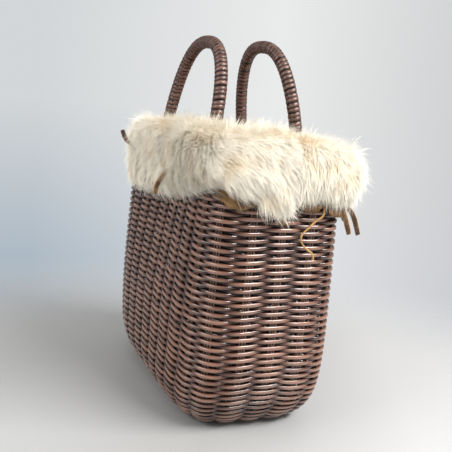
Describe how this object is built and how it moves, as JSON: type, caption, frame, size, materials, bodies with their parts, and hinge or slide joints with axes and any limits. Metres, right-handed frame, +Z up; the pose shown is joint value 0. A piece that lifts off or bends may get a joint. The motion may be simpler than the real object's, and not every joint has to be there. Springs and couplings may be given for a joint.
{
  "type": "basket tote bag",
  "caption": "Rectangular woven cane basket tote with a drawn-in waist, arched cane-bound carrying handles, and a fur cuff tied over the open rim with leather laces.",
  "frame": {"origin": "middle of the woven base, on the surface that the bag stands on", "axes": "+Z up, +X along the long side, +Y across it from the front handle to the back handle"},
  "size_m": [0.3542, 0.1881, 0.3794],
  "materials": {
    "weave": "dark brown woven cane, satin, with light worn highlights along the strands",
    "stake": "dark brown cane bundles, satin",
    "handle_core": "dark brown cane rod",
    "handle_binding": "dark brown split cane, glossy on its crown",
    "pelt_skin": "raw tan hide, ragged at its edges",
    "fur": "long cream white fur, tan at the roots",
    "thong": "thin light tan hide thong",
    "lace": "brown hide strip with pale cut edges"
  },
  "bodies": {
    "basket": {"base_weave": "weave", "siding_weave": "weave", "rim_border": "weave", "cross_stake_1": "stake", "cross_stake_2": "stake", "cross_stake_3": "stake", "cross_stake_4": "stake", "cross_stake_5": "stake", "cross_stake_6": "stake", "cross_stake_7": "stake", "long_stake_1": "stake", "long_stake_2": "stake", "long_stake_3": "stake", "side_stake_1": "stake", "side_stake_2": "stake", "side_stake_3": "stake", "side_stake_4": "stake", "end_stake_1": "stake", "end_stake_2": "stake", "end_stake_3": "stake", "end_stake_4": "stake", "front_leg_tail_right": "handle_core", "front_leg_tail_left": "handle_core", "back_leg_tail_right": "handle_core", "back_leg_tail_left": "handle_core", "front_pelt_skin": "pelt_skin", "back_pelt_skin": "pelt_skin", "front_pelt_fur": "fur", "back_pelt_fur": "fur", "lace_thong": "thong", "lace_tail_corner": "lace", "lace_tail_back": "lace", "lace_tail_front": "lace", "lace_tail_far": "lace"},
    "front_handle": {"front_handle_core": "handle_core", "front_handle_binding": "handle_binding"},
    "back_handle": {"back_handle_core": "handle_core", "back_handle_binding": "handle_binding"}
  },
  "joints": [
    {"name": "front_handle_flex", "type": "hinge", "parent": "basket", "child": "front_handle", "pos_m": [0, -0.04928, 0.258], "axis": [-1, 0, 0], "range_deg": [-9, 12], "stiffness_Nm_per_rad": 2.5},
    {"name": "back_handle_flex", "type": "hinge", "parent": "basket", "child": "back_handle", "pos_m": [0, 0.04928, 0.258], "axis": [1, 0, 0], "range_deg": [-9, 12], "stiffness_Nm_per_rad": 2.5}
  ]
}
